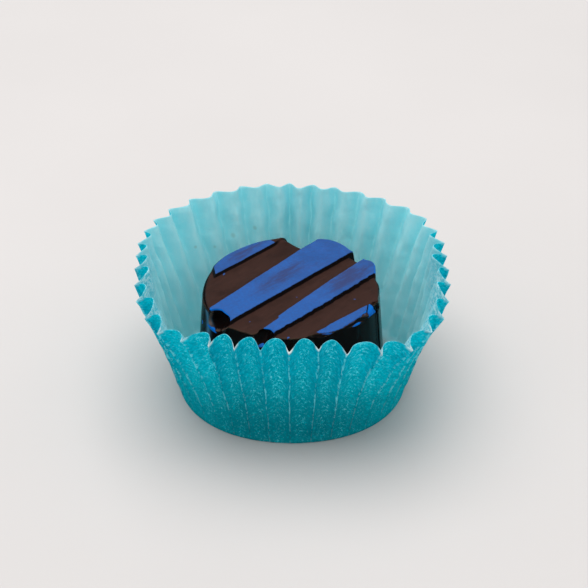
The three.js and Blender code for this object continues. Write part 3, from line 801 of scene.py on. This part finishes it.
def line_ends(s, stretch, share, side):
    """Where each line meets the outline: the root of the squared wall radius less the
    squared distance across, put right a few times, as both change with the place."""
    along = side * np.sqrt(np.clip(s.body_radius**2 - (s.body_radius * (1 - share)) ** 2, 0, None))
    for _ in range(LINE_ROUNDS):
        across = line_across(s, along, stretch, share)
        azimuth, _ = polar(along, across)
        edge = top_surface(s, along, across)[0] - edge_round(azimuth)
        reach = wall_radius(s, azimuth, edge)
        along = 0.5 * along + 0.5 * side * np.sqrt(np.clip(reach**2 - across**2, 0, None))
    return along


def pole_point(s, side):
    """Where the outline is met straight across the ribs, put right a few times."""
    azimuth = np.array([RIB_TURN + side * math.pi / 2])
    reach = s.body_radius
    for _ in range(POLE_ROUNDS):
        edge = top_surface(s, np.zeros(1), np.array([side * 1.0]) * reach)[0] - edge_round(azimuth)
        reach = wall_radius(s, azimuth, edge)
    return round_points(azimuth, reach, edge)


def wall_rings(s, turn, edge_level):
    """The rings below the top's edge: down the wall by a line plus a power, round its
    foot by a quarter circle, and in under the base."""
    down = np.linspace(0, 1, DEPTH_ROWS)[1:, None]
    down = DEPTH_EVEN * down + (1 - DEPTH_EVEN) * down**DEPTH_POWER
    foot = s.base_level + BASE_EDGE
    level = edge_level * (1 - down) + foot * down
    at_foot = wall_radius(s, turn, np.full_like(turn, foot))
    rings = [*round_points(turn, wall_radius(s, turn, level), level)]
    for angle in np.array(FOOT_STEPS) * math.pi / 2:
        inset = BASE_EDGE * (1 - math.cos(angle))
        rings.append(round_points(turn, at_foot - inset, foot - BASE_EDGE * math.sin(angle)))
    rings += [round_points(turn, at_foot * size, s.base_level) for size in BASE_RINGS]
    return np.stack(rings)


def chocolate_shell(s):
    """The whole chocolate. The top is a grid of lines along the ribs that end on the
    outline, lowered near it by a quarter round. Below, rings carry the outline down the
    wall to a rounded foot and in under the base. Gives points, faces and the marks."""
    stretch, share = line_shares()
    front, back = (line_ends(s, stretch, share, side)[:, None] for side in (-1, 1))
    t = crowded(np.linspace(0, 1, POINTS_ALONG), POINT_CROWDING)
    along = front * (1 - t) + back * t
    across = np.stack([line_across(s, column, stretch, share) for column in along.T], 1)
    azimuth, radius = polar(along, across)
    top, shares = top_surface(s, along, across)
    soft = edge_round(azimuth)
    inward = np.clip(wall_radius(s, azimuth, top - soft) - radius, 0, None)
    near = np.minimum(inward, soft)
    near[:, 0] = near[:, -1] = 0
    level = top - (soft - np.sqrt(np.clip(2 * soft * near - near**2, 0, None)))
    face = round_points(azimuth, radius, level)
    top_points = np.concatenate([pole_point(s, 1), face.reshape(-1, 3), pole_point(s, -1)])

    last = len(top_points) - 1
    index = np.arange(1, last).reshape(face.shape[:2])
    zero = np.zeros(POINTS_ALONG - 1, int)
    first_fan = np.stack([zero, index[0, :-1], index[0, 1:]], -1)
    last_fan = np.stack([index[-1, :-1], zero + last, index[-1, 1:]], -1)

    loop = np.concatenate([[0], index[:, 0], [last], index[::-1, -1]])
    edge_x, edge_y, edge_level = top_points[loop].T
    turn = np.arctan2(edge_y, edge_x)
    rings = wall_rings(s, turn, edge_level)
    centre = len(top_points) + rings.shape[0] * rings.shape[1]
    below = np.arange(len(top_points), centre).reshape(rings.shape[:2])
    around = np.concatenate([loop[None], below])
    around = np.concatenate([around, around[:, :1]], 1)
    under = np.stack([around[-1, :-1], np.full(len(loop), centre), around[-1, 1:]], -1)
    points = np.concatenate([top_points, rings.reshape(-1, 3), [[0, 0, s.base_level]]])
    sides = strips(around).reshape(-1, 4)
    parts = (strips(index).reshape(-1, 4), first_fan, last_fan, sides, under)
    faces = [face for part in parts for face in part.tolist()]

    top_values = top_marks(along, across, level, azimuth, inward, shares)
    wall_values = wall_marks(turn, rings[..., 2], edge_level + edge_round(turn))
    marks = {}
    for name, pole in POLE_MARKS.items():
        values = (top_values[name].ravel(), wall_values[name].ravel())
        marks[name] = np.concatenate([[pole], values[0], [pole], values[1], [pole]])
    return points, faces, marks


def top_marks(along, across, level, azimuth, inward, shares):
    """Marks for the colours of the top: coat, the distance inside the painted area in
    mm; wear, how thin the paint is; steep, 1 on the sides of the ribs; side, 1 on the
    outer wall; and edge, the distance from the outline in mm."""
    x, y, from_wall = along / MM, across / MM, inward / MM
    coat = np.full_like(along, POLE_MARKS["coat"])
    for number, rib in enumerate(RIBS):
        low, high = rib_sides(number, along)
        start, end = rib["painted"]
        room = [across - low, high - across, end_room(number, along, across)]
        within = np.minimum.reduce(room) / MM
        if number == PAINT_STEP[0]:
            step = PAINT_STEP[1] * (1 - smooth(*PAINT_STEP[2], x))
            within = np.minimum(within, (high - across) / MM - step)
        limits = [within, from_wall - rib["margin"], x - start, end - x]
        coat = np.maximum(coat, np.minimum.reduce(limits))
    facet = 1 - outline_share(PAINTED_FACET, azimuth, level)
    facet = np.minimum(facet, -FACET_GAP - end_room(FACET_RIB, along, across) / MM)
    coat = np.maximum(coat, facet)
    for at, aside, half_length, half_width, turn in TOP_FLECKS:
        fleck = in_ellipse(x - at, y - aside, half_length, half_width, turn)
        coat = np.maximum(coat, fleck * half_width)
    wear = np.zeros_like(along)
    for at, aside, half_length, half_width, turn, strength in TOP_WEAR:
        away = 1 - in_ellipse(x - at, y - aside, half_length, half_width, turn)
        wear = np.maximum(wear, strength * np.exp(-(away**2)))
    foot, risen, flat, full = STEEP_SHARES
    steep = [smooth(foot, risen, share) * (1 - smooth(flat, full, share)) for share in shares]
    side = 1 - smooth(*SIDE_SHARES, inward / edge_round(azimuth))
    side = np.maximum(side, smooth(*FACET_SIDE, facet))
    at, aside, size, _ = LUMPS[0]
    off_knob = 1 - np.exp(-((np.hypot(x - at, y - aside) / (KNOB_REACH * size)) ** 2))
    none = np.zeros_like(along)
    return {
        "coat": coat, "wear": wear, "steep": np.maximum.reduce(steep) * off_knob,
        "side": side * off_knob, "edge": from_wall, "lip_highlight": none, "painted_reflection": none,
    }


def wall_marks(turn, level, crest):
    """The same marks for the wall, where edge is the depth below the top's crest, and
    with a mark that is 1 on a chip's outline, where a pale highlight is painted, and one
    that is 1 under the painted reflection up the left of the wall."""
    coat = np.full_like(level, POLE_MARKS["coat"])
    wear, lip_highlight = np.zeros_like(level), np.zeros_like(level)
    out_of = [outline_share(chip, turn, level) - 1 for chip in CHIPS]
    clear = np.minimum.reduce(out_of)
    # the painted highlight along each chip's lip
    for chip, away in zip(CHIPS, out_of):
        lip_highlight = np.maximum(lip_highlight, chip["lip_highlight"] * np.exp(-((away / LIP_HIGHLIGHT_WIDTH) ** 2)))
    for middle, height, wide, tall, lean, thin, outside in WALL_FLECKS:
        aside, up = on_wall(turn, level, middle, height)
        inside = in_ellipse(aside, up, wide, tall, lean) * tall
        if outside:
            inside = np.minimum(inside, clear + CHIP_OVERLAP)
        wear = np.where(inside > coat, thin, wear)
        coat = np.maximum(coat, inside)
    facet = 1 - outline_share(PAINTED_FACET, turn, level)
    coat = np.maximum(coat, np.minimum(facet, out_of[FACET_CHIP]))
    middle, half, depth, fade = MATT_SHOULDER
    below = (crest - level) / MM
    side = 1 - bell(turn, middle, half) * (1 - smooth(depth, depth + fade, below))
    # the painted reflection up the left of the wall
    middle = np.interp(level / MM, REFLECTION_STRIP_LEVELS, REFLECTION_STRIP_AZIMUTHS)
    painted_reflection = bell(turn, middle, REFLECTION_STRIP_HALF) * smooth(*REFLECTION_STRIP_CLEAR, clear) * side
    return {
        "coat": coat, "wear": wear, "steep": np.zeros_like(level), "side": side,
        "edge": below, "lip_highlight": lip_highlight, "painted_reflection": painted_reflection,
    }


# ---------------------------------------------------------------- meshes and materials

def new_piece(name, points, faces):
    """A smooth-shaded mesh object from points and faces, at the origin."""
    mesh = bpy.data.meshes.new(name)
    mesh.from_pydata(points.tolist(), [], faces)
    mesh.polygons.foreach_set("use_smooth", np.ones(len(mesh.polygons), bool))
    mesh.update()
    piece = bpy.data.objects.new(name, mesh)
    bpy.context.scene.collection.objects.link(piece)
    return piece


def add_marks(mesh, values, domain):
    """Stores each array of values on the mesh as a named attribute."""
    for name, array in values.items():
        mesh.attributes.new(name, "FLOAT", domain).data.foreach_set("value", np.ravel(array))


def shade_by_face(mesh, dull):
    """Gives a face the second material where all its corners are dull."""
    corners = np.empty(len(mesh.loops), int)
    mesh.loops.foreach_get("vertex_index", corners)
    starts = np.empty(len(mesh.polygons), int)
    mesh.polygons.foreach_get("loop_start", starts)
    chosen = np.minimum.reduceat(dull[corners].astype(int), starts)
    mesh.polygons.foreach_set("material_index", chosen)


class Shader:
    """Builds one node material: each call adds a node and gives back its output."""

    def __init__(self, name):
        self.material = bpy.data.materials.new(name)
        self.material.use_nodes = True
        self.tree = self.material.node_tree
        self.tree.nodes.clear()
        self.output = self.tree.nodes.new("ShaderNodeOutputMaterial")
        self.place = self.node("TexCoord").outputs["Object"]

    def node(self, kind, inputs=(), **settings):
        """A node of this kind, its settings, and its inputs by name or number."""
        made = self.tree.nodes.new("ShaderNode" + kind)
        for key, value in settings.items():
            setattr(made, key, value)
        for key, value in dict(inputs).items():
            socket = made.inputs[key]
            if isinstance(value, bpy.types.NodeSocket):
                self.tree.links.new(value, socket)
            else:
                socket.default_value = (*value, 1.0) if socket.type == "RGBA" else value
        return made

    def maths(self, operation, *values, clamp=False):
        """A number worked out from one, two or three others."""
        made = self.node("Math", enumerate(values), operation=operation, use_clamp=clamp)
        return made.outputs[0]

    def times(self, *values):
        """The product of some numbers."""
        return functools.reduce(lambda one, other: self.maths("MULTIPLY", one, other), values)

    def add(self, number, value, share):
        """A number with a share of another value added."""
        return self.maths("ADD", number, self.maths("MULTIPLY", value, share))

    def waver(self, number, noise, size):
        """A number made to waver by a noise, this much either way."""
        return self.add(number, self.maths("SUBTRACT", noise, 0.5), size * 2)

    def step(self, value, low, high, start=0.0, end=1.0):
        """A smooth change from start to end as the value goes from low to high."""
        inputs = {"Value": value, 1: low, 2: high, 3: start, 4: end}
        return self.node("MapRange", inputs, interpolation_type="SMOOTHSTEP").outputs[0]

    def noise(self, vector, scale, detail=2.0, roughness=0.5, distortion=0.0):
        """Noise from about 0 to 1."""
        inputs = {
            "Vector": vector, "Scale": scale, "Detail": detail,
            "Roughness": roughness, "Distortion": distortion,
        }
        return self.node("TexNoise", inputs).outputs["Fac"]

    def noises(self, kinds):
        """The noises of a table, by name."""
        return {name: self.noise(self.place, *kind) for name, kind in kinds.items()}

    def marks(self, *names):
        """Numbers stored on the mesh, by name."""
        return {name: self.node("Attribute", attribute_name=name).outputs["Fac"] for name in names}

    def split(self, vector):
        """The three numbers of a vector."""
        return tuple(self.node("SeparateXYZ", {0: vector}).outputs)

    def turned(self, vector, turn, scale):
        """The vector turned, and then stretched along its new axes."""
        new = self.node("Mapping", {"Vector": vector, "Rotation": turn}).outputs[0]
        return self.node("Mapping", {"Vector": new, "Scale": scale}).outputs[0]

    def share(self, factors, patterns):
        """The product of patterns through a step, patterns as they are and numbers."""
        values = []
        for factor in factors:
            if isinstance(factor, tuple):
                name, *step = factor
                values.append(self.step(patterns[name], *step))
            else:
                values.append(patterns.get(factor, factor))
        return self.times(*values)

    def blend(self, share, first, second, label=""):
        """The first colour, or the second where the share is 1."""
        made = self.node("Mix", {0: share, 6: first, 7: second}, data_type="RGBA", label=label)
        return made.outputs[2]

    def coats(self, tint, coats, patterns, s):
        """A colour under its coats. A coat's colour may be the name of a setting."""
        for label, (over, *factors) in coats.items():
            over = getattr(s, over) if isinstance(over, str) else over
            tint = self.blend(self.share(factors, patterns), tint, over, label)
        return tint

    def bump(self, height, depth, strength, normal=None):
        """A normal from a height pattern."""
        inputs = {"Height": height, "Distance": depth, "Strength": strength}
        if normal is not None:
            inputs["Normal"] = normal
        return self.node("Bump", inputs).outputs[0]

    def finish(self, surface):
        """Joins the surface to the output and gives back the material."""
        self.tree.links.new(surface, self.output.inputs["Surface"])
        return self.material


def slanting_strokes(m, pleat, fold, height):
    """Short strokes that slant down from the middle of a pleat to both its sides: noise
    over millimetres across and up, turned and drawn out, and different on each side."""
    side = m.maths("FLOOR", m.maths("MULTIPLY", pleat, 2.0))
    spans = zip((fold, height, side), STROKE_SPAN)
    flat = m.node("CombineXYZ", enumerate(m.times(value, span) for value, span in spans)).outputs[0]
    strokes = []
    for lean, squeeze, scale, strength in STROKE_NOISES:
        slanting = m.turned(flat, (0, 0, math.radians(lean)), (squeeze, 1, 1))
        strokes.append(m.times(m.noise(slanting, scale, *STROKE_KIND), strength))
    return m.maths("MAXIMUM", *strokes)


def grease_specks(m, depth):
    """Round faint specks on the back of the wall: each fades with the distance from its
    middle, seen from the front."""
    flat = m.node("Mapping", {"Vector": m.place, "Scale": (1, 0, 1)}).outputs[0]
    start, end, full, none = GREASE_FADE
    specks = []
    for x, z, size in GREASE_SPECKS:
        ends = {0: flat, 1: (x * MM, 0, z * MM)}
        away = m.node("VectorMath", ends, operation="DISTANCE").outputs["Value"]
        specks.append(m.step(away, size * start * MM, size * end * MM, full, none))
    most = functools.reduce(lambda one, other: m.maths("MAXIMUM", one, other), specks)
    return m.times(most, m.step(depth, *GREASE_DEPTH))


def paper_material(s):
    """Dyed greaseproof paper: deeper outside, paler inside, with pale worn lines on the creases,
    slanting crinkles on each side of a pleat, a white cut edge and specks. Shade and light are
    painted in places: shade at the outer foot, in the crinkles' hollows and in the creases
    inside; light on the crinkles, on the case's sides and low down inside."""
    m = Shader("dyed_paper")
    across, depth, _ = m.split(m.place)
    pleat, height, _ = m.split(m.node("UVMap", uv_map="pleats").outputs[0])
    fold = m.maths("PINGPONG", pleat, 0.5)
    patterns = {**m.noises(PAPER_NOISES), **m.marks("inside", "bare")}
    patterns["streak"] = m.noise(m.turned(m.place, (0, 0, 0), STREAK_SQUEEZE), *STREAK)
    for name, (noise, size) in FOLD_WAVERS.items():
        patterns[name] = m.waver(fold, patterns[noise], size)
    strokes = slanting_strokes(m, pleat, fold, height)
    patterns.update(
        height=height, depth=depth, aside=m.maths("ABSOLUTE", across), strokes=strokes,
        fibres=m.maths("MAXIMUM", strokes, patterns["mottle"]), grease=grease_specks(m, depth),
    )
    patterns["band"] = m.share(CRINKLED_BAND, patterns)
    patterns["line"] = m.share(CREASE_LINE, patterns)

    outer = m.coats(s.outer, OUTER_COATS, patterns, s)
    inner = m.coats(s.inner, INNER_COATS, patterns, s)
    paint = m.coats(m.blend(patterns["inside"], outer, inner), CUT_COATS, patterns, s)
    normal = m.bump(m.times(strokes, patterns["band"]), *CRINKLE_BUMP)
    normal = m.bump(patterns["mottle"], *MOTTLE_BUMP, normal)
    front = m.node("BsdfPrincipled", {
        "Base Color": paint, "Roughness": PAPER_ROUGHNESS, "Specular IOR Level": PAPER_SHINE,
        "Normal": normal,
    }).outputs[0]
    thin = m.node("Gamma", {"Color": paint, "Gamma": THIN_GAMMA}).outputs[0]
    through = m.node("BsdfTranslucent", {"Color": thin, "Normal": normal}).outputs[0]
    more_inside = m.maths("SUBTRACT", m.share(THROUGH_INSIDE, patterns), THROUGH_OUTSIDE)
    share = m.add(THROUGH_OUTSIDE, patterns["inside"], more_inside)
    return m.finish(m.node("MixShader", {0: share, 1: front, 2: through}).outputs[0])


def chocolate_material(s, name, shine):
    """Dark chocolate: matt on the groove floors, glossy and almost black on the sides,
    where the near black is partly painted shade, with blue cocoa butter colour on the ribs
    that is worn purple and brown in places. The shine is the level of its highlights."""
    m = Shader(name)
    ribs = m.turned(m.place, (0, 0, -RIB_TURN), RIB_SQUEEZE)
    along, across, _ = m.split(ribs)
    patterns = {**m.marks(*POLE_MARKS), **m.noises(CHOCOLATE_NOISES)}
    patterns["streaks"] = m.noise(ribs, *RIB_STREAK)
    patterns["ragged coat"] = m.waver(patterns["coat"], patterns["rag"], COAT_RAG)
    patterns["front"] = m.add(along, across, FRONT_LEAN)
    patterns["glossy"] = m.maths("MAXIMUM", *(m.share(factors, patterns) for factors in GLOSSY_AND_SHADED))
    worn = m.share(WORN, patterns)
    for pattern, grain in GRAINY_WEAR.items():
        patterns[pattern] = m.add(worn, patterns["grain"], grain)

    cocoa = m.coats(s.cocoa, COCOA_COATS, patterns, s)
    paint = m.coats(s.paint, PAINT_COATS, patterns, s)
    painted = m.share(PAINTED, patterns)
    colours = m.blend(painted, cocoa, paint, "paint")

    roughness = m.share(CHOCOLATE_ROUGHNESS, patterns)
    roughness = m.waver(roughness, patterns["cloud"], CLOUD_ROUGHNESS)
    coated = m.times(painted, m.maths("SUBTRACT", PAINT_ROUGHNESS, roughness))
    roughness = m.maths("ADD", roughness, coated, clamp=True)
    height = m.add(m.times(patterns["streaks"], STREAK_HEIGHT), patterns["grain"], GRAIN_HEIGHT)
    normal = m.bump(m.times(height, m.share(EVEN_SIDE, patterns)), *GRAIN_BUMP)
    normal = m.bump(painted, *PAINT_BUMP, normal)
    return m.finish(m.node("BsdfPrincipled", {
        "Base Color": colours, "Roughness": roughness, "Specular IOR Level": shine, "Normal": normal,
    }).outputs[0])


def floor_material(s):
    """A plain pale floor with the faintest unevenness."""
    m = Shader("pale_floor")
    patterns = {"cloud": m.noise(m.place, *FLOOR_NOISE)}
    paint = m.coats(s.floor, FLOOR_COATS, patterns, s)
    inputs = {"Base Color": paint, "Roughness": FLOOR_ROUGHNESS}
    return m.finish(m.node("BsdfPrincipled", inputs).outputs[0])


# ---------------------------------------------------------------- operators

def middle_of(low, high):
    """The middle of a box, in x and y."""
    return np.array([(low[0] + high[0]) / 2, (low[1] + high[1]) / 2, 0])


class TRUFFLE_OT_add_case(bpy.types.Operator):
    """Add the pleated paper case"""

    bl_idname = "truffle.add_case"
    bl_label = "Add paper case"

    def execute(self, context):
        s = context.scene.truffle_case
        points, faces, pleat, height, inside, bare = case_shell(s)
        own = middle_of(points.min(0), points.max(0))
        points = points - own + middle_of(*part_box("paper_case"))
        piece = new_piece("pleated_case", points, faces)
        pleats = np.stack([pleat, height], -1).ravel()
        piece.data.uv_layers.new(name="pleats").data.foreach_set("uv", pleats)
        add_marks(piece.data, {"inside": inside, "bare": bare}, "CORNER")
        piece.data.materials.append(paper_material(s))
        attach(piece, "root")
        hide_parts("paper_case")
        return {"FINISHED"}


class TRUFFLE_OT_add_chocolate(bpy.types.Operator):
    """Add the moulded chocolate"""

    bl_idname = "truffle.add_chocolate"
    bl_label = "Add chocolate"

    def execute(self, context):
        s = context.scene.truffle_chocolate
        points, faces, marks = chocolate_shell(s)
        points = points + middle_of(*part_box("chocolate"))
        piece = new_piece("moulded_chocolate", points, faces)
        add_marks(piece.data, marks, "POINT")
        piece.data.materials.append(chocolate_material(s, "chocolate", SHINE))
        piece.data.materials.append(chocolate_material(s, "dull_chocolate", DULL_SHINE))
        middle, half = DULL_WALL
        turn = np.degrees(np.arctan2(points[:, 1], points[:, 0]))
        dull = (marks["side"] > WALL_MARK) & (np.abs(wrap(turn - middle)) < half)
        shade_by_face(piece.data, dull)
        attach(piece, "root")
        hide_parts("chocolate")
        return {"FINISHED"}


class TRUFFLE_OT_add_stage(bpy.types.Operator):
    """Add the floor, the light and the camera"""

    bl_idname = "truffle.add_stage"
    bl_label = "Add stage"

    def execute(self, context):
        s = context.scene.truffle_stage
        corners = np.array([(-1, -1, 0), (1, -1, 0), (1, 1, 0), (-1, 1, 0)]) * FLOOR_HALF
        floor = new_piece("floor", corners, [[0, 1, 2, 3]])
        floor.data.materials.append(floor_material(s))
        self.add_key(context.scene, s.key)
        world = bpy.data.worlds.new("studio")
        world.use_nodes = True
        sky = world.node_tree.nodes["Background"].inputs
        sky["Color"].default_value = (*SKY_TINT, 1.0)
        sky["Strength"].default_value = s.sky
        context.scene.world = world
        context.scene.view_settings.view_transform = "Standard"
        self.add_camera(context.scene)
        return {"FINISHED"}

    @staticmethod
    def add_key(scene, watts):
        """A square soft light above, facing the object."""
        data = bpy.data.lights.new("key", "AREA")
        data.shape, data.size, data.energy, data.color = "SQUARE", KEY_SIZE, watts, KEY_TINT
        light = bpy.data.objects.new("key", data)
        scene.collection.objects.link(light)
        light.location = KEY_PLACE
        light.rotation_mode = "QUATERNION"
        light.rotation_quaternion = (Vector(KEY_AIM) - light.location).to_track_quat("-Z", "Y")

    @staticmethod
    def add_camera(scene):
        """A camera in front of the case's middle, turned so that this point falls on the
        pixel where it belongs: first tipped by the angle of the rows, then turned by the
        angle of the columns."""
        data = bpy.data.cameras.new("camera")
        data.sensor_width = SENSOR
        data.lens = FOCAL_PIXELS / PICTURE * SENSOR
        data.clip_start = CLIP_START
        camera = bpy.data.objects.new("camera", data)
        scene.collection.objects.link(camera)
        across, above = (AIM_PIXEL[0] - PICTURE / 2, PICTURE / 2 - AIM_PIXEL[1])
        tip = math.atan(above / FOCAL_PIXELS)
        turn = math.atan(across / FOCAL_PIXELS * math.cos(tip))
        tipped = Matrix.Rotation(math.pi / 2 - CAMERA_ELEVATION - tip, 4, "X")
        matrix = tipped @ Matrix.Rotation(turn, 4, "Y")
        away = Vector((0, -math.cos(CAMERA_ELEVATION), math.sin(CAMERA_ELEVATION)))
        target = Vector(middle_of(*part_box("chocolate"))) - Vector((CHOCOLATE_ASIDE, 0, 0))
        matrix.translation = target + away * CAMERA_DISTANCE
        camera.matrix_world = matrix
        scene.camera = camera


class TRUFFLE_PT_panel(bpy.types.Panel):
    """Lists the pieces and their settings"""

    bl_idname = "TRUFFLE_PT_panel"
    bl_label = "Chocolate Truffle"
    bl_space_type = "VIEW_3D"
    bl_region_type = "UI"
    bl_category = "Truffle"

    def draw(self, context):
        for piece in SETTINGS:
            settings = getattr(context.scene, "truffle_" + piece)
            box = self.layout.box()
            for name in settings.__annotations__:
                box.prop(settings, name)
            box.operator("truffle.add_" + piece)


SETTINGS = {
    "stage": TruffleStageSettings,
    "case": TruffleCaseSettings,
    "chocolate": TruffleChocolateSettings,
}
CLASSES = (
    *SETTINGS.values(),
    TRUFFLE_OT_add_case, TRUFFLE_OT_add_chocolate, TRUFFLE_OT_add_stage, TRUFFLE_PT_panel,
)


def register():
    for cls in CLASSES:
        bpy.utils.register_class(cls)
    for piece, settings in SETTINGS.items():
        setattr(bpy.types.Scene, "truffle_" + piece, bpy.props.PointerProperty(type=settings))


def unregister():
    for piece in SETTINGS:
        delattr(bpy.types.Scene, "truffle_" + piece)
    for cls in reversed(CLASSES):
        bpy.utils.unregister_class(cls)


def main():
    register()
    bpy.ops.truffle.add_stage()
    bpy.ops.truffle.add_case()
    bpy.ops.truffle.add_chocolate()


if __name__ == "__main__":
    main()
